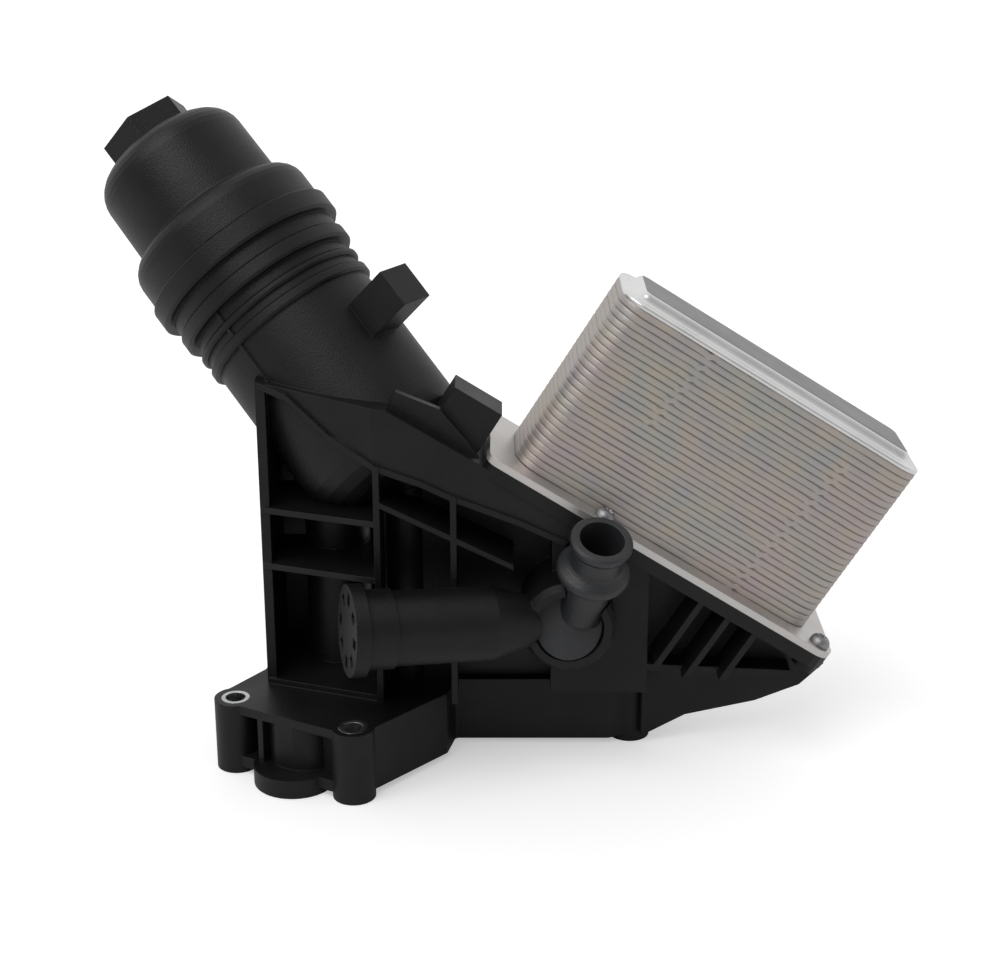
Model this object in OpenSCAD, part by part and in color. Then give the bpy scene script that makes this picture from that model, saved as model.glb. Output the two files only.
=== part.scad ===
// Oil filter housing with screw cap, filter element and stacked-plate oil cooler.
// Z is normal to the engine face, the origin is midway between the two front bolts on that face,
// and X runs along the length of the cooler.

/* [Flange] */
// Height of the flange block above the engine face
flange_h = 31.5; // [28:0.5:36]
// How far the bosses and port collars stand proud of the flange walls
face_relief = 3; // [1:0.5:5]
// Distance between the two front bolts
front_bolt_gap = 58.6; // [54:0.2:62]
// Turn of the front bolt line in plan
front_bolt_turn = -28; // [-32:1:-24]
// Outer radius of a bolt boss
boss_r = 9; // [8:0.5:10]
// Outer radius of a steel bushing
bushing_r = 6; // [5.5:0.1:6.5]
// Radius of the bolt hole in a bushing
bolt_hole_r = 4.25; // [3.5:0.05:4.5]
// Thickness of the moulded walls
wall = 4; // [3:0.5:5]
// Thickness of the stiffening ribs
rib_t = 2.6; // [2:0.1:3.5]
// Bore radius of the oil feed port
feed_r = 12.5; // [11:0.5:13.5]
// Bore radius of the other flange ports
port_r = 10; // [8:0.5:11]
// Wall of a port collar, which holds the seal groove
collar_t = 5; // [4.5:0.5:6]

/* [Filter bowl] */
// Plan direction of the bowl axis
bowl_turn = 148; // [144:1:152]
// Rise of the bowl axis above the engine face
bowl_rise = 45; // [42:1:48]
// Radius of the chamber that holds the filter element
chamber_r = 34.5; // [34:0.1:35]
// Wall of the bowl round the chamber
bowl_wall = 3.8; // [3.4:0.1:4.2]
// Length of the bowl from its floor to its rim
bowl_l = 95.5; // [92:0.5:100]
// Step from the chamber out to the thread bore
thread_step = 3.5; // [3.3:0.1:3.8]
// Depth of the thread bore
thread_bore_h = 19.5; // [18:0.5:21]
// Width of the collar ring round the thread bore
rim_ring_w = 6.7; // [6:0.1:8]
// Height of the collar ring at the rim
rim_ring_h = 10; // [8:0.5:12]

/* [Screw cap] */
// Step from the thread bore in to the cap dome
dome_step = 3.5; // [3:0.1:4]
// Height of the cap above the bowl rim, without the hexagon
dome_h = 59; // [56:0.5:62]
// Width of the skirt beyond the thread bore, where it closes on the rim
skirt_w = 4.6; // [4:0.1:6]
// Height of the straight part of the skirt
skirt_h = 11.5; // [10:0.5:14]
// Width of the hexagon across its flats
hex_af = 36; // [32:1:38]
// Height of the hexagon
hex_h = 12; // [10:0.5:15]
// Wall of the cap
cap_wall = 3; // [2.5:0.1:3.5]

/* [Filter element] */
// Oil space between the pleated paper and the chamber
oil_space = 4.3; // [4:0.1:5]
// Length of the element with its end caps
element_l = 118; // [114:1:120]
// Radius of the hole through the element
element_bore_r = 13; // [12.5:0.5:14]
// Number of pleats
pleats = 48; // [36:4:60]
// Thickness of an element end cap
end_cap_t = 3; // [2.5:0.5:4]

/* [Cooler] */
// Tilt of the cooler deck about Y
deck_tilt = 32; // [30:1:34]
// Height of the deck top along its normal, from the origin
deck_top = 160.5; // [158:0.5:163]
// Front edge of the deck along Y
deck_front = 10; // [8:0.5:12]
// Width of the ledge of the base plate in front of the plate stack
ledge = 11; // [9:0.5:12]
// Thickness of the deck plate
deck_t = 6; // [5:0.5:7]
// Length of the plate stack
stack_l = 146; // [130:1:150]
// Depth of the plate stack
stack_d = 46; // [42:1:50]
// Number of plates in the stack
plate_count = 27; // [22:1:30]
// Pitch of the plates
plate_pitch = 3; // [2.8:0.05:3.2]
// Corner radius of the plates
plate_corner_r = 11; // [9:0.5:13]
// Thickness of the cooler base plate
base_t = 3; // [2.5:0.5:4]

/* [Coolant pipe] */
// Outer radius of the cross pipe
pipe_r = 15.5; // [14.5:0.5:16]
// Bore radius of the cross pipe
pipe_bore_r = 11; // [10:0.5:12]
// Turn of the cross pipe in plan
pipe_turn = 16; // [12:1:20]
// Fall of the cross pipe towards the elbow
pipe_fall = 3.5; // [3:0.5:7]
// Length of the cross pipe from its plug face to the elbow
pipe_l = 94; // [90:1:97]
// Radius of the plug face
plug_r = 19; // [18:0.5:20]
// Radius of the bead at the nipple mouth
nipple_bead_r = 12.8; // [12:0.1:13.5]
// Radius of the nipple neck, where the hose sits
nipple_r = 11; // [10.5:0.1:11.5]
// Bore radius of the nipple
nipple_bore_r = 9.2; // [8.5:0.1:9.4]
// Lean of the nipple towards the front
nipple_lean = 27; // [24:1:30]

/* [Fits] */
// Running gap between parts that turn or slide on each other
running_gap = 0.3; // [0.25:0.05:0.4]
// Gap between parts that are pushed together
push_gap = 0.05; // [0.03:0.01:0.1]

/* [Hidden] */
$fn = 48;

// Plan places of the bolts: the front pair lies either side of the feed port
front_bolt = front_bolt_gap / 2 * [cos(front_bolt_turn), sin(front_bolt_turn)];
side_bolt = [143.4, 42.7];
back_bolt = [56, 74];
bolts = [-front_bolt, front_bolt, side_bolt, back_bolt];

// Plan places of the ports: the feed port, and two others in the wide part of the flange
feed_port = [4, 7];
return_port = [46, 44];
bowl_port = [16, 56];
side_ports = [return_port, bowl_port];
seal_depth = 2.4;
seal_w = 2.2;
seal_inset = 1.2;
tube_wall = 2.5;

// Outline of the flange as corner places with their corner radius
foot_left = -front_bolt + [-10.5, -1.5];
foot_right = front_bolt + [1.5, -8.5];
flange_outline = [
    [foot_left.x, foot_left.y, 4], [foot_right.x, foot_right.y, 4],
    [63.8, 17.2, 2], [67, 31, 2], [134, 31, 3], [side_bolt.x + 6, side_bolt.y - 4, 4],
    [153, 60, 6], [150, 82, 8], [-10, 84, 8], [-16, 41.2, 3]
];
flange_hollow = [
    [foot_left.x + 13, foot_left.y + 16, 1], [foot_right.x - 3, foot_right.y + 14, 1],
    [59.5, 21, 2], [62.5, 35, 2], [132, 35, 2], [149, 60, 2], [146, 78, 4], [-6, 80, 4], [-12, 44, 2]
];
// Recess in the front of the foot, between its two bosses, above the face plate
face_plate_t = 5;
foot_recess = [
    foot_left + [9, -7], foot_right + [-9, -5], foot_right + [-7, 11], foot_left + [14, 12]
];

// Bowl and cap places along the bowl axis, from the bowl floor
bowl_place = from_deck([-46.3, 26.4]);
bowl_floor = [bowl_place.x, 52, bowl_place.y];
bowl_r = chamber_r + bowl_wall;
thread_bore_r = chamber_r + thread_step;
rim_ring_r = thread_bore_r + rim_ring_w;
dome_r = thread_bore_r - dome_step;
skirt_r = thread_bore_r + skirt_w;
element_r = chamber_r - oil_space;
bowl_end = 26;
bowl_round = 22;
floor_z = -20;
rim_z = bowl_l;
dome_top = rim_z + dome_h;
thread_r = thread_bore_r - running_gap;
ring_bands = [
    [rim_z - 40.5, 5, bowl_r + 2.1], [rim_z - 32, 3.5, bowl_r + 2.1], [rim_z - 23.5, 7, bowl_r + 4]
];
neck_r = bowl_r + 2.7;
neck_h = 9;
ridge_w = 1.6;
ridge_h = 1;
ridge_turn = 94;
ridge_z = 36;
cap_neck_r = thread_bore_r - 1.4;
oring_r = 1.5;
oring_z = rim_z - 8;
oring_mid = thread_bore_r - running_gap - oring_r;
cap_foot_z = rim_z - thread_bore_h + 1;
skirt_z = rim_z + running_gap;
dome_round = 12;
cap_bore_r = dome_r - cap_wall;
thread_h = 8;
clip_r = 16;
snap_h = 5;
pleat_depth = 3;

// Element places along the bowl axis
element_z = 6;
element_top = element_z + element_l;
core_r = element_bore_r - 0.6;
core_t = 1.6;

// Standpipe and bypass valve
standpipe_r = 9;
standpipe_bore_r = 6.5;
standpipe_top = rim_z - 11.5;
drain_r = 6;
drain_wall = 5;
drain_reach = 5;
valve_travel = 4;
cage_h = 14;
plate_gap = 0.02;
valve_z = 10;
valve_seat_r = 7;
valve_disc_r = 9.5;
face_gap = 0.02;
spring_wire_r = 0.6;
stem_r = 2;

// Deck places along its length, from the foot of the normal through the origin
deck_left = -4;
stack_left = 7;
end_ledge = 13;
deck_right = stack_left + stack_l + end_ledge;
stack_front = deck_front + ledge;
deck_back = stack_front + stack_d + 4;
stack_h = plate_count * plate_pitch;
plate_t = 1.6;
cover_t = 2;
pan_h = 4;
screw_r = 2.5;
screw_head_r = 4.4;
screw_l = 7;
screw_places = [
    [50, stack_front - screw_head_r - 0.4], [deck_right - 8, deck_front + 6.5],
    [deck_right - 8, deck_back - 7]
];
screw_boss_r = 5.2;
cooler_port_r = 7;
cooler_ports = [[24, 32], [24, 56], [132, 32], [132, 56]];

// Lower edge of the body under the bowl, from the column to the flange end, as places from the deck
belly = from_deck_all([
    [-99.1, 25.5], [-87, 22.6], [-63.1, 26.3], [-42, 25.4],
    [-23.3, 21.3], [-10, 19.9], [20.1, 14.1], [46.9, 10.9]
]);
// Top of the body, inside the deck plate and the foot of the bowl
body_top = from_deck_all([[47.9, 3.2], [-4.2, 2.8], [-50.9, 3.6]]);
lip_t = 2.8;
lip_set = 1.2;
body_left = -13.6;
body_front = 9;
body_back = 78;
column_front = [[body_left, 27.2], [34.7, body_front + 1]];
web_front = 36;
// Bracket under the free end of the deck, from the web to the end of the deck
bracket = from_deck_all([
    [deck_right - 32.1, 59.7], [deck_right - 10.2, 38], [deck_right + 1.8, 21.4], [deck_right + 5, 7.7],
    [deck_right - 6.1, -10.1]
]);
// Gusset between the bowl and the body
gusset = from_deck_all([
    [-49, 14.2], [-50.7, -3.6], [-31.2, -6.8], [-14.5, -1.2], [-6.5, 3], [-23.3, 10]
]);
gusset_front = 17;

// Clips for the wiring, on the top of the bowl and beside the cooler
clip_out = bowl_r + 21.7;
clip_w = 18;
clip_z = 25;
clip_l = 17;
clip_rise = 17;

// Cross pipe and elbow
plug_face = [24.7, -12.5, 74.1];
pipe_way = [
    cos(pipe_fall) * cos(pipe_turn), cos(pipe_fall) * sin(pipe_turn), -sin(pipe_fall)
];
elbow = plug_face + pipe_l * pipe_way;
plug_t = 6;
plug_neck_l = 20;
plug_spokes = 8;
stem_h = 6;
nipple_turn = 20;
nipple_l = 49.2;
nipple_shift = 4.8;
nipple_way_r = 7.2;
knuckle_r = 13.9;
knuckle_set = 7.5;
cup_front = 12;
pipe_way_r = 7;
cup_r = 19.5;
cup_bore_r = 14.5;
leg_r = 12.4;
nipple_tube_r = 9.5;
nipple_collar_r = 15.2;
collar_z = 26;
groove_w = 2.4;
small_oring_r = 1.1;
plug_groove_z = 13;
leg_groove_z = 12.8;

// A place on the side view, from its distance along the deck and its depth below the deck top
function from_deck(p) = [
    p.x * cos(deck_tilt) + (deck_top - p.y) * sin(deck_tilt),
    (deck_top - p.y) * cos(deck_tilt) - p.x * sin(deck_tilt)
];
function from_deck_all(list) = [for (p = list) from_deck(p)];
// Height of the underside of the deck at a place along X
function deck_under(x) = (deck_top - deck_t) / cos(deck_tilt) - x * tan(deck_tilt);

// A corner list with radii, turned into points with round corners
function unit(v) = v / norm(v);
function corner(a, b, c, r, n) =
    let(ua = unit(a - b), uc = unit(c - b), half = acos(ua * uc) / 2,
        m = b + unit(ua + uc) * r / sin(half),
        s = b + ua * r / tan(half) - m, e = b + uc * r / tan(half) - m,
        a0 = atan2(s.y, s.x), turn = (atan2(e.y, e.x) - a0 + 540) % 360 - 180)
    [for (k = [0:n]) m + r * [cos(a0 + turn * k / n), sin(a0 + turn * k / n)]];
function rounded(p, n = 5) = [
    for (i = [0:len(p) - 1])
        let(a = p[(i + len(p) - 1) % len(p)], b = p[i], c = p[(i + 1) % len(p)])
        each corner([a.x, a.y], [b.x, b.y], [c.x, c.y], b[2], n)
];
function arc(centre, r, a0, a1, n = 6) = [
    for (k = [0:n]) centre + r * [cos(a0 + (a1 - a0) * k / n), sin(a0 + (a1 - a0) * k / n)]
];

// Frames of the bowl, the deck, the cross pipe and the nipple
module on_bowl() {
    translate(bowl_floor)
        rotate([0, 0, bowl_turn])
            rotate([0, 90 - bowl_rise, 0])
                children();
}
module on_deck() {
    rotate([0, deck_tilt, 0])
        translate([0, 0, deck_top])
            children();
}
module on_pipe() {
    translate(plug_face)
        rotate([0, 0, pipe_turn])
            rotate([0, 90 + pipe_fall, 0])
                children();
}
module on_cup() {
    translate(elbow) rotate([-90, 0, 0]) children();
}
module on_nipple() {
    translate(elbow + [nipple_shift, 0, 0])
        rotate([0, 0, nipple_turn])
            rotate([nipple_lean, 0, 0])
                children();
}
module at_bolts() {
    for (b = bolts) translate([b.x, b.y, 0]) children();
}
module at_ports() {
    for (p = side_ports) translate([p.x, p.y, 0]) children();
}
// A tube with its bottom at the given height
module tube(r_out, r_in, h) {
    difference() {
        cylinder(r = r_out, h = h);
        translate([0, 0, -1]) cylinder(r = r_in, h = h + 2);
    }
}
// A ring with chamfered edges round the bowl
module band(z, h, r, chamfer = 1) {
    rotate_extrude()
        polygon([[chamber_r + 1, z], [r - chamfer, z], [r, z + chamfer], [r, z + h - chamfer],
                 [r - chamfer, z + h], [chamber_r + 1, z + h]]);
}
// A plate that stands on Y, from a list of X and Z places
module side_plate(points, front, back) {
    translate([0, back, 0])
        rotate([90, 0, 0])
            linear_extrude(back - front)
                polygon(points);
}
// A flat seal round a port of the given radius; a gap makes the groove it lies in
module port_seal(r, gap = 0) {
    translate([0, 0, -gap])
        tube(r + seal_inset + seal_w + gap, r + seal_inset - gap, seal_depth + 2 * gap);
}
// A round ring of rubber
module oring(r_mid, r_wire) {
    rotate_extrude() translate([r_mid, 0]) circle(r = r_wire, $fn = 24);
}
// A coil spring of round wire, swept along its helix
module spring(r_mid, r_wire, h, turns) {
    sides = 8;
    rings = 14 * turns;
    points = [
        for (k = [0:rings])
            let(turn = 360 * turns * k / rings, z = r_wire + (h - 2 * r_wire) * k / rings)
            for (j = [0:sides - 1])
                let(a = 360 * j / sides, r = r_mid + r_wire * cos(a))
                [r * cos(turn), r * sin(turn), z + r_wire * sin(a)]
    ];
    skin = [
        for (k = [0:rings - 1]) for (j = [0:sides - 1])
            let(a = k * sides + j, b = k * sides + (j + 1) % sides)
            each [[a, b, b + sides], [a, b + sides, a + sides]]
    ];
    ends = [[for (j = [sides - 1:-1:0]) j], [for (j = [0:sides - 1]) rings * sides + j]];
    polyhedron(points, concat(skin, ends));
}

// Flange block, open below, with bosses and port collars
module flange_block() {
    translate([0, 0, face_relief])
        linear_extrude(flange_h - face_relief)
            polygon(rounded(flange_outline));
    at_bolts() cylinder(r = boss_r, h = flange_h);
    for (p = [[0, 0], feed_port])
        translate([p.x, p.y, 0]) cylinder(r = feed_r + collar_t, h = face_relief + face_plate_t);
    at_ports() cylinder(r = port_r + collar_t, h = flange_h);
}
module flange_cavity() {
    difference() {
        translate([0, 0, face_relief + face_plate_t])
            linear_extrude(flange_h - wall - face_relief - face_plate_t)
                polygon(foot_recess);
        at_bolts() cylinder(r = boss_r, h = flange_h);
        translate([feed_port.x, feed_port.y, 0]) cylinder(r = feed_r + tube_wall, h = flange_h);
        rotate([0, 0, front_bolt_turn]) translate([-14, -30, 0]) cube([rib_t, 34, flange_h]);
    }
    difference() {
        translate([0, 0, -1])
            linear_extrude(flange_h - wall + 1)
                polygon(rounded(flange_hollow));
        at_bolts() translate([0, 0, -2]) cylinder(r = boss_r, h = flange_h + 2);
        for (p = [[0, 0], feed_port])
            translate([p.x, p.y, -2]) cylinder(r = feed_r + collar_t, h = flange_h + 2);
        at_ports() translate([0, 0, -2]) cylinder(r = port_r + collar_t, h = flange_h + 2);
        for (x = [-8, 40, 70, 120])
            translate([x, -30, face_relief]) cube([rib_t, 130, flange_h]);
        translate([-40, 58, face_relief]) cube([200, rib_t, flange_h]);
    }
}

module bowl_outside() {
    on_bowl() {
        rotate_extrude()
            polygon(concat([[0, -bowl_end]], arc([bowl_r - bowl_round, bowl_round - bowl_end], bowl_round, -90, 0),
                           [[bowl_r, bowl_l - 1], [0, bowl_l - 1]]));
        for (b = ring_bands) band(b[0], b[1], b[2]);
        band(rim_z - rim_ring_h - neck_h + 1.5, neck_h, neck_r, 0.5);
        band(rim_z - rim_ring_h, rim_ring_h, rim_ring_r);
        // Parting ridge of the mould along the side
        rotate(ridge_turn)
            translate([bowl_r - 2, -ridge_w / 2, ridge_z])
                cube([2 + ridge_h, ridge_w, rim_z - rim_ring_h - ridge_z - 1]);
    }
}
module bowl_inside() {
    on_bowl() {
        rotate_extrude()
            polygon(concat([[0, floor_z]],
                           arc([chamber_r - bowl_round + wall, floor_z + bowl_round - wall], bowl_round - wall, -90, 0),
                           [[chamber_r, bowl_l + 1], [0, bowl_l + 1]]));
        translate([0, 0, rim_z - thread_bore_h]) cylinder(r = thread_bore_r, h = thread_bore_h + 1);
    }
}

// Column under the bowl, with its ribs
module column() {
    column_h = belly[0].y + 8;
    intersection() {
        union() {
            translate([body_left, column_front[0].y, flange_h - 1])
                cube([wall, body_back - column_front[0].y, column_h]);
            translate([body_left, body_back - wall, flange_h - 1]) cube([60, wall, column_h]);
            for (z = [flange_h, 85, 110])
                translate([0, 0, z])
                    linear_extrude(rib_t)
                        polygon([column_front[0], column_front[1], [34.7, 60], [body_left, 60]]);
        }
        side_plate(concat([[-30, 0], [belly[7].x, 0]], [for (k = [7:-1:0]) belly[k]], [[-30, column_h]]), 0, 100);
    }
    translate([bowl_port.x, bowl_port.y, flange_h - 1])
        cylinder(r = port_r + wall, h = bowl_floor.z - flange_h - 7);
    // Duct for the clean oil, from the flange up to the floor of the bowl
    translate([return_port.x, return_port.y, flange_h - 1])
        cylinder(r = drain_r + drain_wall, h = bowl_floor.z - flange_h - 17);
    on_bowl() translate([0, 0, -bowl_end - drain_reach])
        cylinder(r = standpipe_bore_r + wall - 0.6, h = drain_reach + 3);
}

module web() {
    // Wall under the deck and its ribs
    side_plate(concat([[33, flange_h - 1], [150, flange_h - 1], [150, deck_under(150) + 1]],
                      [for (k = [7:-1:3]) belly[k] + [0, 2]], [[33, belly[3].y + 2]]),
               web_front, web_front + wall);
    for (rib = [[34.7, belly[3].y], [66, belly[5].y - 1]])
        side_plate([[rib.x, flange_h - 1], [rib.x + rib_t, flange_h - 1], [rib.x + rib_t, rib.y],
                    [rib.x, rib.y]], body_front, web_front + 1);
    side_plate([[36, 122], [92, 94], [92, 94 - rib_t], [36, 122 - rib_t]], body_front, web_front + 1);
    // Block behind the elbow
    translate([108, 20, flange_h - 1]) cube([41, 30, 55]);
    side_plate([[108, 80], [149, 80], [149, deck_under(149) + 1], [108, belly[7].y + 9]], 20, 50);
}

// Outline of the body in plan, set back by a step
function body_plan(step) = [
    column_front[0] + [step, step], column_front[1] + [0, step], [130, body_front + step],
    [130, body_back - step], [body_left + step, body_back - step]
];
module body_block() {
    // Thin lip along the lower edge of the body, over the column and the web
    intersection() {
        side_plate(concat(belly, [for (k = [7:-1:0]) belly[k] - [0, lip_t]]), 0, 100);
        linear_extrude(300) polygon(body_plan(0));
    }
    // Body between the bowl and the deck, set back behind the lip
    intersection() {
        side_plate(concat([for (p = belly) p - [0, 0.5]], body_top), 0, 100);
        linear_extrude(300) polygon(body_plan(lip_set));
    }
    // Gusset that ties the bowl to the body
    side_plate(gusset, gusset_front, gusset_front + wall);
}

module deck() {
    on_deck()
        translate([0, 0, -deck_t])
            linear_extrude(deck_t)
                polygon(rounded([[deck_left, deck_front, 6], [deck_right, deck_front, 12],
                                 [deck_right, deck_back, 12], [deck_left, deck_back, 6]]));
    on_deck()
        for (p = screw_places)
            translate([p.x, p.y, -screw_l - 2]) cylinder(r = screw_boss_r, h = screw_l + 2);
    // Bracket under the free end of the deck
    intersection() {
        side_plate(concat([[148, 4]], bracket, [[148, deck_under(148) + 15]]), 31, 31 + wall);
        rotate([0, deck_tilt, 0]) translate([-200, 0, 0]) cube([500, 200, deck_top - 1]);
    }
    intersection() {
        on_deck()
            for (u = [63, 49.5, 36])
                translate([deck_right - u, deck_front + 2, -40]) cube([rib_t, 25, 40 - deck_t + 1]);
        side_plate([[148, 42], [230, 38], [230, 60], [148, 120]], 0, 60);
    }
    side_plate([[149, 44], [210, 41], [210, 38], [149, 41]], 20, 34);
}

module cross_pipe() {
    on_pipe()
        rotate_extrude()
            polygon([[0, plug_t], [plug_r - 2.5, plug_t], [plug_r - 2.5, 2 * plug_t + 6],
                     [pipe_r, 2 * plug_t + 6], [pipe_r, pipe_l - 34], [pipe_way_r + 3, pipe_l - 15],
                     [0, pipe_l - 15]]);
    on_cup()
        rotate_extrude()
            polygon([[0, -cup_front], [cup_r - 2, -cup_front], [cup_r, 3 - cup_front], [cup_r, 34], [0, 34]]);
}
module pipe_inside() {
    on_pipe() {
        translate([0, 0, -1]) cylinder(r = pipe_bore_r, h = pipe_l - 38);
        cylinder(r = pipe_way_r, h = pipe_l);
    }
    on_cup() {
        translate([0, 0, -cup_front - 1]) cylinder(r = cup_bore_r, h = cup_front + 9);
        cylinder(r = leg_r + push_gap, h = 30);
    }
    // Room for the nipple, which crosses the edge of the cup
    on_nipple() {
        cylinder(r = nipple_tube_r + 0.6, h = collar_z);
        translate([0, 0, collar_z - 1]) cylinder(r = nipple_collar_r + 0.6, h = 20);
    }
}

module clips() {
    on_bowl()
        translate([-clip_out, -clip_w / 2, clip_z]) cube([clip_out - bowl_r + 6, clip_w, clip_l]);
    // Second clip, on the body beside the cooler
    on_deck() translate([deck_left - 26.5, deck_front + 11, -6]) cube([22.5, clip_w, 6 + clip_rise]);
}

module seal_grooves() {
    translate([feed_port.x, feed_port.y, 0]) port_seal(feed_r, push_gap);
    at_ports() port_seal(port_r, push_gap);
    on_deck()
        for (p = cooler_ports)
            translate([p.x, p.y, 0]) {
                translate([0, 0, -seal_depth]) port_seal(cooler_port_r, push_gap);
                translate([0, 0, -deck_t + 1.5]) cylinder(r = cooler_port_r, h = deck_t);
            }
}
module screw_holes() {
    on_deck()
        for (p = screw_places)
            translate([p.x, p.y, -screw_l - 0.5]) cylinder(r = screw_r + push_gap, h = screw_l + 1);
}

module housing() {
    color("#1d1e20") {
        difference() {
            union() {
                flange_block();
                column();
                web();
                body_block();
                deck();
                bowl_outside();
                cross_pipe();
                clips();
            }
            flange_cavity();
            at_bolts() translate([0, 0, -1]) cylinder(r = bushing_r + push_gap, h = flange_h + 2);
            translate([feed_port.x, feed_port.y, -1]) cylinder(r = feed_r, h = flange_h - wall + 1);
            at_ports() translate([0, 0, -1]) cylinder(r = port_r, h = flange_h);
            seal_grooves();
            screw_holes();
            // Oil way from the bowl port up into the bowl, and the duct below the standpipe
            translate([bowl_port.x, bowl_port.y, flange_h - wall])
                cylinder(r = standpipe_bore_r, h = bowl_floor.z - flange_h - 10);
            translate([return_port.x, return_port.y, flange_h - wall])
                cylinder(r = drain_r, h = bowl_floor.z - flange_h - 15.5);
            on_bowl() translate([0, 0, -bowl_end - drain_reach + 3])
                cylinder(r = standpipe_bore_r, h = bowl_end + drain_reach + floor_z - 2);
            bowl_inside();
            pipe_inside();
        }
    }
}
module flange_bushings() {
    color("#a9abad") at_bolts() tube(bushing_r, bolt_hole_r, flange_h);
}

module filter_cap() {
    color("#1d1e20") on_bowl() {
        difference() {
            union() {
                rotate_extrude()
                    polygon(concat([[0, skirt_z], [skirt_r, skirt_z], [skirt_r, rim_z + skirt_h]],
                                   arc([skirt_r - 8, rim_z + skirt_h], 8, 0, 85, 5),
                                   [[dome_r + 0.4, rim_z + skirt_h + 9]],
                                   arc([dome_r - dome_round, dome_top - dome_round], dome_round, 0, 90, 7),
                                   [[0, dome_top]]));
                translate([0, 0, dome_top - 1])
                    cylinder(r = hex_af / 2 / cos(30), h = hex_h + 1, $fn = 6);
                translate([0, 0, cap_foot_z]) cylinder(r = cap_neck_r, h = rim_z - cap_foot_z + 1);
                translate([0, 0, cap_foot_z]) cylinder(r = thread_r, h = thread_h);
            }
            rotate_extrude()
                polygon(concat([[0, cap_foot_z - 1], [cap_bore_r, cap_foot_z - 1]],
                               arc([dome_r - dome_round, dome_top - dome_round],
                                   dome_round - cap_wall, 0, 90, 7),
                               [[0, dome_top - cap_wall]]));
            translate([0, 0, oring_z - push_gap])
                tube(cap_neck_r + 1, oring_mid - oring_r - push_gap, 2 * (oring_r + push_gap));
        }
        // Ring of the clip that holds the element, hanging from the crown
        translate([0, 0, element_top + running_gap])
            tube(clip_r, clip_r - 2, dome_top - cap_wall - element_top);
    }
}
module cap_oring() {
    color("#2b2a28") on_bowl() translate([0, 0, oring_z + oring_r]) oring(oring_mid, oring_r);
}

// Filter element: pleated paper between two end caps, round a perforated tube
module filter_media() {
    color("#d8b878") on_bowl()
        translate([0, 0, element_z + end_cap_t])
            linear_extrude(element_l - 2 * end_cap_t)
                difference() {
                    polygon([for (k = [0:2 * pleats - 1])
                        (k % 2 ? element_r - pleat_depth : element_r)
                            * [cos(180 * k / pleats), sin(180 * k / pleats)]]);
                    circle(r = element_bore_r);
                }
}
module element_top_cap() {
    color("#34363a") on_bowl() {
        translate([0, 0, element_top - end_cap_t]) tube(element_r + 0.2, element_bore_r, end_cap_t);
        // Snap ring that reaches up inside the clip of the cap
        translate([0, 0, element_top]) tube(clip_r - 2 - running_gap, clip_r - 4, snap_h);
    }
}
module element_bottom_cap() {
    color("#34363a") on_bowl() translate([0, 0, element_z])
        tube(element_r + 0.2, standpipe_r + running_gap, end_cap_t);
}
module element_core() {
    color("#34363a") on_bowl()
        translate([0, 0, element_z + end_cap_t])
            difference() {
                tube(core_r, core_r - core_t, element_l - 2 * end_cap_t);
                for (row = [0:5])
                    for (turn = [0:60:120])
                        translate([0, 0, 12 + row * 18])
                            rotate(turn + 30 * (row % 2))
                                cube([4 * core_r, 5, 9], center = true);
            }
}

// Standpipe up the middle of the bowl, with the bypass valve at its top
module standpipe() {
    color("#34363a") on_bowl() translate([0, 0, floor_z]) {
        tube(standpipe_r, standpipe_bore_r, standpipe_top - floor_z);
        tube(standpipe_r + 2.2, standpipe_bore_r, element_z - floor_z - running_gap);
    }
}
module bypass_cage() {
    color("#34363a") on_bowl() translate([0, 0, standpipe_top]) {
        for (turn = [0:120:240])
            rotate(turn)
                intersection() {
                    tube(standpipe_r - 0.2, standpipe_r - 1.6, cage_h + 1);
                    translate([0, -2, 0]) cube([standpipe_r + 1, 4, cage_h + 1]);
                }
        translate([0, 0, cage_h]) cylinder(r = standpipe_r + 0.5, h = 2);
    }
}
module bypass_plunger() {
    color("#a9abad") on_bowl() translate([0, 0, standpipe_top + plate_gap]) {
        cylinder(r = standpipe_r - 1.6 - running_gap, h = 2);
        cylinder(r = stem_r, h = stem_h);
    }
}
module bypass_spring() {
    color("#a9abad") on_bowl() translate([0, 0, standpipe_top + plate_gap + 2])
        spring(4.4, spring_wire_r, cage_h - plate_gap - 2, 5);
}

// Check valve in the oil feed port: plunger on its seat, spring above, retainer ring below
module check_retainer() {
    color("#34363a") translate([feed_port.x, feed_port.y, valve_z - 3])
        tube(feed_r - push_gap, valve_seat_r, 3);
}
module check_plunger() {
    color("#a9abad") translate([feed_port.x, feed_port.y, valve_z + plate_gap]) {
        cylinder(r = valve_disc_r, h = 2);
        cylinder(r = stem_r, h = stem_h);
    }
}
module check_spring() {
    color("#a9abad") translate([feed_port.x, feed_port.y, valve_z + plate_gap + 2])
        spring(6, spring_wire_r, flange_h - wall - valve_z - plate_gap - 2, 6);
}

module pipe_plug() {
    color("#1d1e20") on_pipe() {
        difference() {
            cylinder(r = plug_r, h = plug_t - face_gap);
            for (k = [0:plug_spokes - 1])
                rotate(k * 360 / plug_spokes)
                    translate([4.5, -2.2, -1]) cube([plug_r - 7.5, 4.4, plug_t - 2]);
        }
        difference() {
            cylinder(r = pipe_bore_r - push_gap, h = plug_neck_l);
            translate([0, 0, plug_t + 2]) cylinder(r = pipe_bore_r - 3, h = plug_neck_l);
            translate([0, 0, plug_groove_z])
                tube(pipe_bore_r + 1, pipe_bore_r - 2 * small_oring_r - 0.1, groove_w);
        }
    }
}
module plug_oring() {
    color("#2b2a28") on_pipe()
        translate([0, 0, plug_groove_z + groove_w / 2]) oring(pipe_bore_r - small_oring_r - push_gap, small_oring_r);
}

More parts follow.
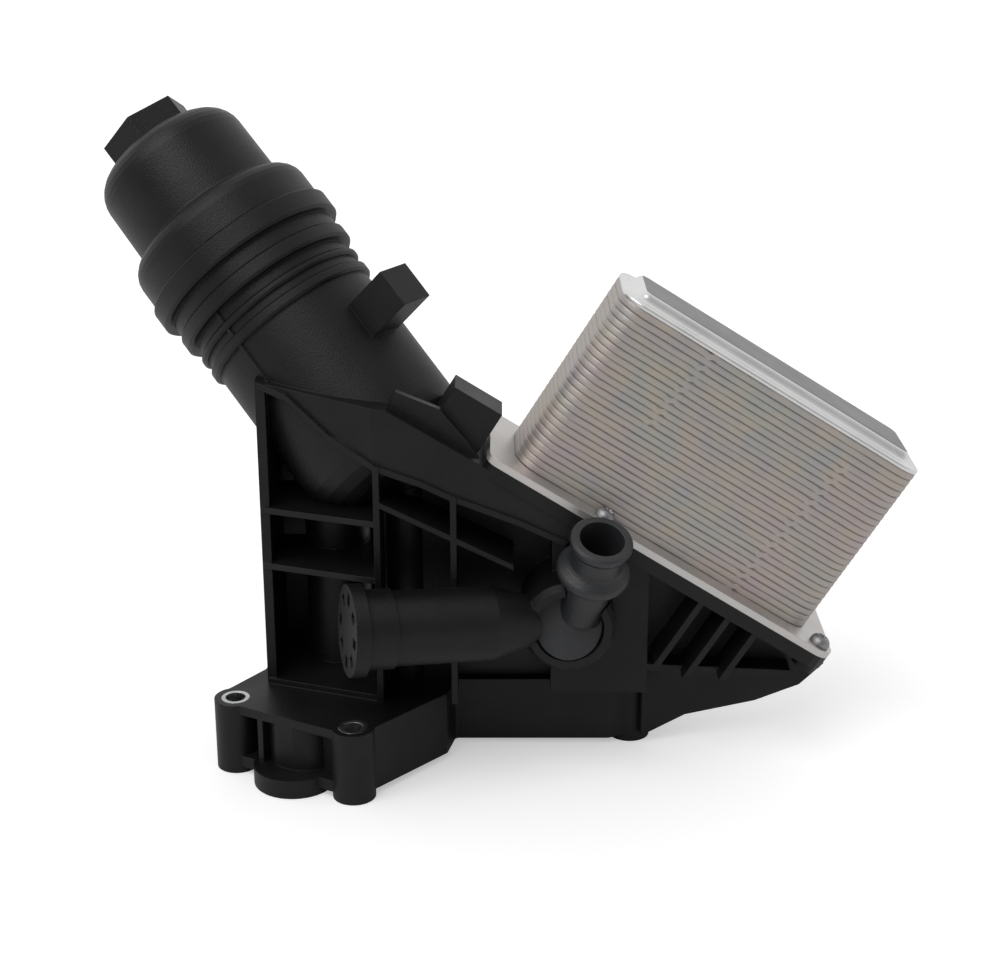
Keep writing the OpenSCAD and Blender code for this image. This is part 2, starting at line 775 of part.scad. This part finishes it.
// Coolant nipple: a leg that plugs into the cup, and a spigot for the hose
module coolant_nipple() {
    color("#232428") difference() {
        union() {
            on_cup() cylinder(r = leg_r, h = 20);
            // Knuckle in the mouth of the cup, with a slanting front
            difference() {
                on_cup() translate([0, 0, -cup_front - 1]) cylinder(r = knuckle_r, h = cup_front + 8.5);
                translate(elbow - [0, knuckle_set, 0]) rotate([-18, 0, 0]) translate([-20, -40, -20])
                    cube([40, 40, 40]);
            }
            on_nipple() {
                rotate_extrude()
                    polygon([[0, 0], [nipple_tube_r - 3, 0], [nipple_tube_r, 4], [nipple_tube_r, collar_z],
                             [nipple_collar_r - 0.6, collar_z + 2],
                             [nipple_collar_r, collar_z + 3.2], [nipple_collar_r, collar_z + 5],
                             [nipple_collar_r - 0.6, collar_z + 6], [nipple_r + 0.8, collar_z + 8.5],
                             [nipple_r, collar_z + 9.5], [nipple_r, nipple_l - 6],
                             [nipple_bead_r, nipple_l - 3], [nipple_bead_r, nipple_l - 1],
                             [nipple_bead_r - 1, nipple_l], [0, nipple_l]]);
            }
        }
        on_nipple() {
            translate([0, 0, collar_z]) cylinder(r = nipple_bore_r, h = nipple_l);
            translate([0, 0, 2]) cylinder(r = nipple_way_r, h = nipple_l);
        }
        on_cup() translate([0, 0, 2]) cylinder(r = nipple_bore_r, h = 30);
        on_cup() translate([0, 0, leg_groove_z]) tube(leg_r + 1, leg_r - 2 * small_oring_r - 0.1, groove_w);
    }
}
module nipple_oring() {
    color("#2b2a28") on_cup()
        translate([0, 0, leg_groove_z + groove_w / 2]) oring(leg_r - small_oring_r - push_gap, small_oring_r);
}

module plate_outline(inset = 0, r = plate_corner_r) {
    translate([stack_left + inset, stack_front + inset])
        polygon(rounded([[0, 0, r], [stack_l - 2 * inset, 0, r],
                         [stack_l - 2 * inset, stack_d - 2 * inset, r], [0, stack_d - 2 * inset, r]]));
}
module cooler_base_plate() {
    color("#b9b6b1") on_deck()
        difference() {
            linear_extrude(base_t)
                polygon(rounded([[deck_left - 1, deck_front, 5], [deck_right - 1, deck_front, 9],
                                 [deck_right - 1, deck_back, 9], [deck_left - 1, deck_back, 5]]));
            for (p = screw_places)
                translate([p.x, p.y, -1]) cylinder(r = screw_r + running_gap, h = base_t + 2);
        }
}
module cooler_core() {
    color("#b9b6b1") on_deck() translate([0, 0, base_t]) {
        linear_extrude(stack_h) plate_outline(1.6, plate_corner_r - 1.6);
        for (k = [0:plate_count - 1])
            translate([0, 0, k * plate_pitch]) linear_extrude(plate_t) plate_outline();
    }
}
module cooler_top_cover() {
    color("#b9b6b1") on_deck() translate([0, 0, base_t + stack_h]) {
        linear_extrude(cover_t) plate_outline();
        linear_extrude(cover_t + pan_h)
            translate([stack_left + 8, stack_front + 7])
                polygon(rounded([[0, 0, 8], [stack_l - 14, 0, 8], [stack_l - 14, stack_d - 12, 8],
                                 [0, stack_d - 12, 8]]));
    }
}
module cooler_screws() {
    color("#a9abad") on_deck()
        for (p = screw_places)
            translate([p.x, p.y, 0]) {
                translate([0, 0, -screw_l]) cylinder(r = screw_r, h = screw_l + base_t + 1);
                translate([0, 0, base_t]) cylinder(r = screw_head_r, h = 1);
                translate([0, 0, base_t + 1]) cylinder(r1 = screw_head_r, r2 = screw_head_r - 2, h = 3);
            }
}
module cooler_seals() {
    color("#2b2a28") on_deck()
        for (p = cooler_ports)
            translate([p.x, p.y, -seal_depth]) port_seal(cooler_port_r);
}
module flange_seals() {
    color("#2b2a28") {
        translate([feed_port.x, feed_port.y, 0]) port_seal(feed_r);
        at_ports() port_seal(port_r);
    }
}

housing();
flange_bushings();
flange_seals();
filter_cap();
cap_oring();
filter_media();
element_top_cap();
element_bottom_cap();
element_core();
standpipe();
bypass_plunger();
bypass_spring();
bypass_cage();
check_plunger();
check_spring();
check_retainer();
pipe_plug();
plug_oring();
coolant_nipple();
nipple_oring();
cooler_base_plate();
cooler_core();
cooler_top_cover();
cooler_screws();
cooler_seals();
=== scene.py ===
import math

import bpy
import numpy as np
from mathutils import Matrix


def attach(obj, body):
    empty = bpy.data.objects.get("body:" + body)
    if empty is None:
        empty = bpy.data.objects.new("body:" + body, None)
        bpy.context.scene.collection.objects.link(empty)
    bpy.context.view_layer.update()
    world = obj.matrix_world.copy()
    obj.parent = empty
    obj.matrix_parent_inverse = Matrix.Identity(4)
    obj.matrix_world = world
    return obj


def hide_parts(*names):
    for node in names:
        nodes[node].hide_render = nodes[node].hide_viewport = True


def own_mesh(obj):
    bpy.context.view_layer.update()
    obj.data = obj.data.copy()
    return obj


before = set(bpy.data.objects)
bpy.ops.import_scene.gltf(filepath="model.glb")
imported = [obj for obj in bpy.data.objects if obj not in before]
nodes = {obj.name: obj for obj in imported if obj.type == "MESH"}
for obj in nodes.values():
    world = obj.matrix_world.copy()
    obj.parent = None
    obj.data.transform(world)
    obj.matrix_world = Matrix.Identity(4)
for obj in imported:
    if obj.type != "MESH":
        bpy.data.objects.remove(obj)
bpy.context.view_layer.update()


# Studio: the part stands on its engine face on a white sweep, lit by a wide soft lamp
# from above and by the pale room round it.
floor_half = 6.0
floor_level = -0.0002
floor_grey = (0.80, 0.80, 0.80, 1)
floor_lift = 0.42  # light of its own, where the camera sees the floor
camera_place = (0.0864, -0.713, 0.3936)
camera_pitch = math.radians(70)
camera_lens = 68.4
camera_sensor = 36
lamp_strength = 1.3
lamp_width = math.radians(50)
lamp_lean = (math.radians(28), math.radians(-24), 0)
room_span = (-0.7, 0.5)  # how far towards the camera and away from it the room fades
room_light = (0.34, 1.0)

camera_data = bpy.data.cameras.new("camera")
camera_data.sensor_width = camera_sensor
camera_data.lens = camera_lens
camera = bpy.data.objects.new("camera", camera_data)
camera.location = camera_place
camera.rotation_euler = (camera_pitch, 0, 0)
bpy.context.scene.collection.objects.link(camera)
bpy.context.scene.camera = camera
bpy.context.scene.view_settings.view_transform = "Standard"


def join(tree, output, entry):
    """Links an output socket to an input socket."""
    tree.links.new(output, entry)


def seen_directly(tree):
    """One where a ray comes from the camera, or through something clear, else zero."""
    path = tree.nodes.new("ShaderNodeLightPath")
    either = tree.nodes.new("ShaderNodeMath")
    either.operation = "MAXIMUM"
    join(tree, path.outputs["Is Camera Ray"], either.inputs[0])
    join(tree, path.outputs["Is Transmission Ray"], either.inputs[1])
    return either.outputs[0]


world = bpy.data.worlds.new("studio")
bpy.context.scene.world = world
world.use_nodes = True
sky = world.node_tree
sky.nodes.clear()
direction = sky.nodes.new("ShaderNodeTexCoord")
parts = sky.nodes.new("ShaderNodeSeparateXYZ")
depth = sky.nodes.new("ShaderNodeMapRange")
depth.inputs["From Min"].default_value, depth.inputs["From Max"].default_value = room_span
depth.inputs["To Min"].default_value, depth.inputs["To Max"].default_value = room_light
room = sky.nodes.new("ShaderNodeBackground")
white = sky.nodes.new("ShaderNodeBackground")
choice = sky.nodes.new("ShaderNodeMixShader")
sky_out = sky.nodes.new("ShaderNodeOutputWorld")
join(sky, direction.outputs["Generated"], parts.inputs[0])
join(sky, parts.outputs["Y"], depth.inputs["Value"])
join(sky, depth.outputs["Result"], room.inputs["Strength"])
join(sky, seen_directly(sky), choice.inputs["Fac"])
join(sky, room.outputs[0], choice.inputs[1])
join(sky, white.outputs[0], choice.inputs[2])
join(sky, choice.outputs[0], sky_out.inputs["Surface"])
white.inputs["Color"].default_value = (1, 1, 1, 1)

lamp_data = bpy.data.lights.new("soft_lamp", "SUN")
lamp_data.energy = lamp_strength
lamp_data.angle = lamp_width
lamp = bpy.data.objects.new("soft_lamp", lamp_data)
lamp.rotation_euler = lamp_lean
bpy.context.scene.collection.objects.link(lamp)

floor_mesh = bpy.data.meshes.new("floor")
floor_corners = [(x * floor_half, y * floor_half, floor_level) for x, y in ((-1, -1), (1, -1), (1, 1), (-1, 1))]
floor_mesh.from_pydata(floor_corners, [], [(0, 1, 2, 3)])
floor = bpy.data.objects.new("floor", floor_mesh)
bpy.context.scene.collection.objects.link(floor)
sweep = bpy.data.materials.new("white_sweep")
sweep.use_nodes = True
paper = sweep.node_tree
paper.nodes.clear()
matt = paper.nodes.new("ShaderNodeBsdfDiffuse")
matt.inputs["Color"].default_value = floor_grey
glow = paper.nodes.new("ShaderNodeEmission")
both = paper.nodes.new("ShaderNodeAddShader")
lift = paper.nodes.new("ShaderNodeMath")
lift.operation = "MULTIPLY"
lift.inputs[1].default_value = floor_lift
paper_out = paper.nodes.new("ShaderNodeOutputMaterial")
join(paper, seen_directly(paper), lift.inputs[0])
join(paper, lift.outputs[0], glow.inputs["Strength"])
join(paper, matt.outputs[0], both.inputs[0])
join(paper, glow.outputs[0], both.inputs[1])
join(paper, both.outputs[0], paper_out.inputs["Surface"])
floor.data.materials.append(sweep)


# Housing: one moulding of glass-filled nylon, near black, with a fine eroded grain and crisp
# moulded edges that catch the light.
def wear(tree, scale, low, high, detail=4.0):
    """Fractal noise on the object's own coordinates, spread from low to high."""
    place = tree.nodes.new("ShaderNodeTexCoord")
    cloud = tree.nodes.new("ShaderNodeTexNoise")
    cloud.inputs["Scale"].default_value = scale
    cloud.inputs["Detail"].default_value = detail
    spread = tree.nodes.new("ShaderNodeMapRange")
    spread.inputs["From Min"].default_value = 0.3
    spread.inputs["From Max"].default_value = 0.7
    spread.inputs["To Min"].default_value = low
    spread.inputs["To Max"].default_value = high
    join(tree, place.outputs["Object"], cloud.inputs["Vector"])
    join(tree, cloud.outputs["Fac"], spread.inputs["Value"])
    return spread.outputs["Result"]


def blend(tree, share, first, second):
    """A colour between two others, each a tone or a socket, by a share from zero to one."""
    mix = tree.nodes.new("ShaderNodeMix")
    mix.data_type = "RGBA"
    for entry, colour in (("A", first), ("B", second)):
        if isinstance(colour, tuple):
            mix.inputs[entry].default_value = (*colour, 1)
        else:
            join(tree, colour, mix.inputs[entry])
    join(tree, share, mix.inputs["Factor"])
    return mix.outputs["Result"]


def clouded(dark, light, scale):
    """A recipe for a colour that drifts from a dark to a light tone in clouds of the given scale."""
    return lambda tree: blend(tree, wear(tree, scale, 0, 1), dark, light)


def bumped(tree, height, distance, edge):
    """A normal disturbed by a height of the given distance, over edges rounded by the given radius."""
    bump = tree.nodes.new("ShaderNodeBump")
    bump.inputs["Strength"].default_value = 1.0
    bump.inputs["Distance"].default_value = distance
    join(tree, height, bump.inputs["Height"])
    if edge:
        bevel = tree.nodes.new("ShaderNodeBevel")
        bevel.samples = 6
        bevel.inputs["Radius"].default_value = edge
        join(tree, bevel.outputs["Normal"], bump.inputs["Normal"])
    return bump.outputs["Normal"]


def finish(name, colour, rough, rough_scale, grain, grain_detail, grain_depth, edge=0.0, metal=0.0, specular=0.5):
    """A material: a colour recipe, a roughness that drifts between two values in clouds of the given
    scale, and a grain of the given scale, detail and depth over edges rounded by the given radius."""
    skin = bpy.data.materials.new(name)
    skin.use_nodes = True
    tree = skin.node_tree
    shader = tree.nodes["Principled BSDF"]
    shader.inputs["Metallic"].default_value = metal
    shader.inputs["Specular IOR Level"].default_value = specular
    join(tree, colour(tree), shader.inputs["Base Color"])
    join(tree, wear(tree, rough_scale, *rough), shader.inputs["Roughness"])
    join(tree, bumped(tree, wear(tree, grain, 0, 1, grain_detail), grain_depth, edge), shader.inputs["Normal"])
    return skin


def moulded(name, dark, light, rough, grain, specular, edge=0.0006):
    """Moulded plastic: two close tones, a roughness that drifts a little, and a fine grain."""
    return finish(name, clouded(dark, light, 60), (rough - 0.05, rough + 0.05), 35, grain, 3, 0.00006, edge,
                  specular=specular)


def dress(name, skin):
    """Gives a carried-over solid its finish."""
    mesh = nodes[name].data
    mesh.materials.clear()
    mesh.materials.append(skin)


black_nylon = moulded("black_nylon", (0.0050, 0.0051, 0.0058), (0.0085, 0.0087, 0.0098), 0.44, 1500, 0.30)
dress("housing", black_nylon)


# Bushings: steel sleeves pressed into the four bolt bosses, bright on their ends.
def metal_skin(name, tone, rough, grain):
    """Bare metal: a tone that drifts a fifth darker, and a fine worked surface."""
    dull = tuple(0.8 * part for part in tone)
    return finish(name, clouded(dull, tone, 180), (rough - 0.06, rough + 0.06), 240, grain, 2, 0.00003, 0.0003,
                  metal=1.0)


bright_steel = metal_skin("bright_steel", (0.62, 0.63, 0.64), 0.3, 2600)
dress("flange_bushings", bright_steel)


# Flange and cooler seals and the O-rings: moulded rubber, matte, with a bloom that comes and goes.
seal_rubber = finish("seal_rubber", clouded((0.012, 0.012, 0.011), (0.022, 0.021, 0.019), 300), (0.55, 0.75), 120,
                     2200, 2, 0.00004, specular=0.35)
for name in ("flange_seals", "cooler_seals", "cap_oring", "plug_oring", "nipple_oring"):
    dress(name, seal_rubber)


# Check valve and bypass valve: steel plungers and drawn-wire springs in plastic cages. Each spring gets a mesh of its
# own.
drawn_wire = metal_skin("drawn_wire", (0.5, 0.5, 0.51), 0.26, 3000)
inner_nylon = moulded("inner_nylon", (0.020, 0.021, 0.024), (0.032, 0.033, 0.037), 0.42, 1700, 0.4, 0.0003)
bowl_lean, bowl_turn = math.radians(45), math.radians(148)
bowl_axis = np.array([math.sin(bowl_lean) * math.cos(bowl_turn), math.sin(bowl_lean) * math.sin(bowl_turn),
                      math.cos(bowl_lean)])
for name in ("check_plunger", "bypass_plunger"):
    dress(name, bright_steel)
for name in ("check_retainer", "bypass_cage", "standpipe", "element_top_cap", "element_bottom_cap", "element_core"):
    dress(name, inner_nylon)
for name, joint, axis, travel in (("bypass_spring", "bypass_open", bowl_axis, 0.004),
                                  ("check_spring", "check_open", np.array([0.0, 0.0, 1.0]), 0.005)):
    dress(name, drawn_wire)
    wire = nodes[name]
    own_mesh(wire)


# Filter paper: resin-treated, tan, drifting between two tones in clouds, with a fine grain of fibres.
folded_paper = finish("folded_paper", clouded((0.50, 0.33, 0.14), (0.72, 0.53, 0.28), 700), (0.75, 0.9), 300,
                      3200, 2, 0.00008, specular=0.2)
dress("filter_media", folded_paper)


# Screw cap: nylon, a little smoother than the housing, with a hexagon on its crown.
cap_nylon = moulded("cap_nylon", (0.0050, 0.0052, 0.0062), (0.0085, 0.0087, 0.0102), 0.40, 1500, 0.32)
dress("filter_cap", cap_nylon)


# Plug and hose nipple of the cross pipe: separate mouldings, the nipple paler and smoother.
dress("pipe_plug", black_nylon)
nipple_nylon = moulded("nipple_nylon", (0.022, 0.023, 0.025), (0.034, 0.035, 0.038), 0.36, 1500, 0.5)
dress("coolant_nipple", nipple_nylon)


# Base plate of the cooler: pressed aluminium, satin, screwed down on the deck.
def sheet(name, colour, rough, metal):
    """Brazed sheet: a satin roughness and a fine rolled texture."""
    return finish(name, colour, (rough - 0.07, rough + 0.07), 90, 900, 3, 0.00003, 0.0004, metal=metal)


sheet_scale = 45  # clouds in the tone of plain sheet
sheet_aluminium = sheet("sheet_aluminium", clouded((0.60, 0.60, 0.585), (0.70, 0.655, 0.635), sheet_scale), 0.42, 0.85)
dress("cooler_base_plate", sheet_aluminium)


# Plate stack: twenty-seven dished aluminium plates, nested and brazed, each with a turned-up
# edge that leaves a dark seam. Small jogs in the seams lie in two slanting columns.
deck_tilt = math.radians(32)
deck_height = 0.1605
deck_along = np.array([math.cos(deck_tilt), 0, -math.sin(deck_tilt)])
deck_across = np.array([0.0, 1.0, 0.0])
deck_normal = np.array([math.sin(deck_tilt), 0, math.cos(deck_tilt)])
plate_centre = (0.080, 0.044)
plate_half = (0.073, 0.023)
plate_corner = 0.011
least_corner = 0.002
plate_count = 27
plate_pitch = 0.003
stack_base = 0.003
stack_top = stack_base + plate_count * plate_pitch
side_points = (170, 14, 60, 14)  # front, right, back and left, densest where the jogs are
corner_points = 9
# One plate's edge: height above its foot and inset from the outline, in millimetres
plate_edge = np.array([[0.0, 1.3], [0.10, 0.45], [0.20, 0.10], [0.34, 0.0], [0.7, 0.0], [1.6, 0.05], [2.5, 0.11],
                       [2.76, 0.18], [2.9, 0.5]]) / 1000
wander_heights = (0.00007, 0.00004)
wander_rates = (95, 260)
jog_height = 0.0012
jog_width = 0.0016
# Each column of jogs: its place along the deck at a height, its slant, and its lowest and highest jog
jog_columns = [(0.0450, 0.0460, 0.163, 0.044, stack_top), (0.1153, 0.0108, 0.128, 0.0, 0.071)]
jog_fade = 0.020  # the jogs die out this far in front of the stack's middle


def on_deck(u, v, n):
    """Places from the deck: u along it, v across it and n above it, as an array of points."""
    return (u[..., None] * deck_along + v[..., None] * deck_across
            + (n + deck_height)[..., None] * deck_normal)


def deck_point(u, v, n):
    """One place on the deck as a single row."""
    return on_deck(np.array([u]), np.array([v]), np.array([n]))


def plate_path(inset):
    """A rounded rectangle as a closed run of points, its sides moved in by the inset and its corner
    radius less by as much. It starts at the left end of the front edge and goes against the clock."""
    half_u, half_v = plate_half[0] - inset, plate_half[1] - inset
    radius = max(plate_corner - inset, least_corner)
    run_u, run_v = half_u - radius, half_v - radius
    quarter = np.linspace(0, math.pi / 2, corner_points)
    # Each side: where it starts and ends, and the corner that follows it with its first angle
    sides = [((-run_u, -half_v), (run_u, -half_v), (run_u, -run_v), -math.pi / 2),
             ((half_u, -run_v), (half_u, run_v), (run_u, run_v), 0),
             ((run_u, half_v), (-run_u, half_v), (-run_u, run_v), math.pi / 2),
             ((-half_u, run_v), (-half_u, -run_v), (-run_u, -run_v), math.pi)]
    runs = []
    for count, (start, end, turn, angle) in zip(side_points, sides):
        share = np.linspace(0, 1, count, endpoint=False)[1:, None]
        runs.append(np.array(start) + share * (np.array(end) - np.array(start)))
        runs.append(np.array(turn) + radius * np.column_stack([np.cos(angle + quarter), np.sin(angle + quarter)]))
    return np.concatenate(runs) + plate_centre


def closed_surface(name, points, first_pole, last_pole):
    """A closed mesh from a grid of points: rows of one closed path each, joined row to row, and ended
    by a fan to a pole at each end. Faces point outwards when rows climb and paths go against the clock."""
    rows, columns = points.shape[:2]
    index = np.arange(rows * columns).reshape(rows, columns)
    following = np.roll(index, -1, axis=1)
    quads = np.stack([index[:-1], following[:-1], following[1:], index[1:]], axis=-1).reshape(-1, 4)
    places = np.vstack([points.reshape(-1, 3), first_pole, last_pole])
    first, last = len(places) - 2, len(places) - 1
    first_fan = np.stack([np.full(columns, first), following[0], index[0]], axis=-1)
    last_fan = np.stack([np.full(columns, last), index[-1], following[-1]], axis=-1)
    mesh = bpy.data.meshes.new(name)
    mesh.from_pydata(places.tolist(), [], quads.tolist() + first_fan.tolist() + last_fan.tolist())
    mesh.polygons.foreach_set("use_smooth", np.ones(len(mesh.polygons), dtype=bool))
    mesh.update()
    piece = bpy.data.objects.new(name, mesh)
    bpy.context.scene.collection.objects.link(piece)
    return piece


outline = plate_path(0.0)
along = outline[:, 0]
ahead = np.roll(outline, -1, axis=0) - np.roll(outline, 1, axis=0)
outward = np.column_stack([ahead[:, 1], -ahead[:, 0]]) / np.linalg.norm(ahead, axis=1)[:, None]
# Rows of the stack: the edge of every plate in turn, and one last row on top
layer = np.append(np.repeat(np.arange(plate_count), len(plate_edge)), plate_count - 1)[:, None]
height = np.append(np.tile(plate_edge[:, 0], plate_count), plate_pitch)[:, None] + layer * plate_pitch
inset = np.append(np.tile(plate_edge[:, 1], plate_count), plate_edge[0, 1])[:, None]
# Seams wander a little along each plate, and every other one jogs where the columns cross it
phase = layer * 2.4
shift = (wander_heights[0] * np.sin(along * wander_rates[0] + phase)
         + wander_heights[1] * np.sin(along * wander_rates[1] + 2.1 * phase))
level = stack_base + layer * plate_pitch
front_only = np.clip((plate_centre[1] - outline[:, 1]) / jog_fade, 0, 1)
for column_place, column_level, slant, lowest, highest in jog_columns:
    near = (along - column_place - (level - column_level) * slant) / jog_width
    jogged = (layer % 2 == 0) & (level > lowest) & (level < highest)
    shift = shift + jog_height * front_only * jogged * near * np.exp(-near ** 2)
shift[[0, -1]] = 0
plates = closed_surface("cooler_plates",
                        on_deck(outline[:, 0] - outward[:, 0] * inset, outline[:, 1] - outward[:, 1] * inset,
                                stack_base + height + shift),
                        deck_point(*plate_centre, stack_base), deck_point(*plate_centre, stack_top))


def braze_tints(tree):
    """A recipe for the plates' colour: grey-green to rosy clouds, stained straw here and there."""
    clouds = blend(tree, wear(tree, 34, 0, 1, 3), (0.41, 0.435, 0.43), (0.49, 0.405, 0.425))
    return blend(tree, wear(tree, 90, 0, 0.75, 5), clouds, (0.56, 0.49, 0.40))


plates.data.materials.append(sheet("plate_aluminium", braze_tints, 0.5, 0.75))
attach(plates, "housing")
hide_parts("cooler_core")


# Cover: a pressed aluminium lid brazed on the top plate, with a rim, a raised pan whose flat top is duller, and wide
# fillets between them. The lid's one aluminium is painted in two tones: light on the rim and fillets as a painted
# highlight, dark on the pan's flat top as painted shade.
cover_height = 0.006
# From the foot up over the rim to the pan: inset from the outline and height, in millimetres
cover_profile = np.array([[1.2, 0.0], [0.25, 0.0], [0.0, 0.3], [0.0, 1.2], [0.25, 1.75], [0.9, 2.0], [3.6, 2.05],
                          [5.0, 2.3], [6.0, 3.0], [6.7, 4.1], [7.3, 5.1], [8.2, 5.75], [9.4, 6.0], [12.0, 6.0]]) / 1000
pan_row = 11  # the row of the profile where the pan's top starts
paths = np.array([plate_path(inset) for inset in cover_profile[:, 0]])
levels = np.broadcast_to((stack_top + cover_profile[:, 1])[:, None], paths.shape[:2])
cover = closed_surface("cooler_cover", on_deck(paths[..., 0], paths[..., 1], levels),
                       deck_point(*plate_centre, stack_top), deck_point(*plate_centre, stack_top + cover_height))
# First tone: the lid's aluminium painted light, a painted highlight on the rim and fillets.
cover.data.materials.append(sheet("lid_painted_highlight", clouded((0.80, 0.80, 0.80), (0.88, 0.875, 0.87), sheet_scale),
                                  0.3, 0.85))
# Second tone: the same aluminium painted dark, painted shade on the pan's flat top.
cover.data.materials.append(sheet("pan_top_painted_shade", clouded((0.25, 0.25, 0.26), (0.30, 0.30, 0.305), sheet_scale),
                                  0.48, 0.85))
# Faces lie row by row, then the fan under the lid, then the fan on the pan
face_row = np.arange(len(cover.data.polygons)) // paths.shape[1]
# The pan's flat top takes the painted shade, every other face of the lid the painted highlight.
painted_shade_faces = ((face_row >= pan_row) & (face_row < len(cover_profile) - 1)) | (face_row == face_row.max())
cover.data.polygons.foreach_set("material_index", painted_shade_faces.astype(np.int32))
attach(cover, "housing")
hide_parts("cooler_top_cover")


# Cooler screws: steel, M5, with a domed head and a six-lobed recess, driven into the deck.
screw_places = [(0.050, 0.0162), (0.158, 0.0165), (0.158, 0.064)]
screw_foot, recess_floor = -0.007, 0.005
# From the tip up over the head into the recess: radius and height above the deck, in millimetres
screw_profile = np.array([[2.2, -7.0], [2.5, -6.6], [2.5, 3.0], [4.1, 3.0], [4.4, 3.3], [4.4, 4.3], [4.2, 5.2],
                          [3.6, 6.1], [2.9, 6.7], [2.4, 7.0], [2.15, 6.9], [2.0, 5.6], [1.9, 5.2]]) / 1000
recess_rows = 3
lobe_count, lobe_depth = 6, 0.00022
dull_steel = metal_skin("dull_steel", (0.34, 0.34, 0.35), 0.42, 2600)
round_about = np.linspace(0, 2 * math.pi, 48, endpoint=False)
lobes = np.zeros((len(screw_profile), 1))
lobes[-recess_rows:] = lobe_depth
radii = screw_profile[:, :1] + lobes * np.cos(lobe_count * round_about)
for count, (place_u, place_v) in enumerate(screw_places, 1):
    rims = on_deck(place_u + radii * np.cos(round_about), place_v + radii * np.sin(round_about),
                   np.broadcast_to(screw_profile[:, 1:], radii.shape))
    screw = closed_surface(f"cooler_screw_{count}", rims, deck_point(place_u, place_v, screw_foot),
                           deck_point(place_u, place_v, recess_floor))
    screw.data.materials.append(dull_steel)
    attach(screw, "housing")
    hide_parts("cooler_screws")
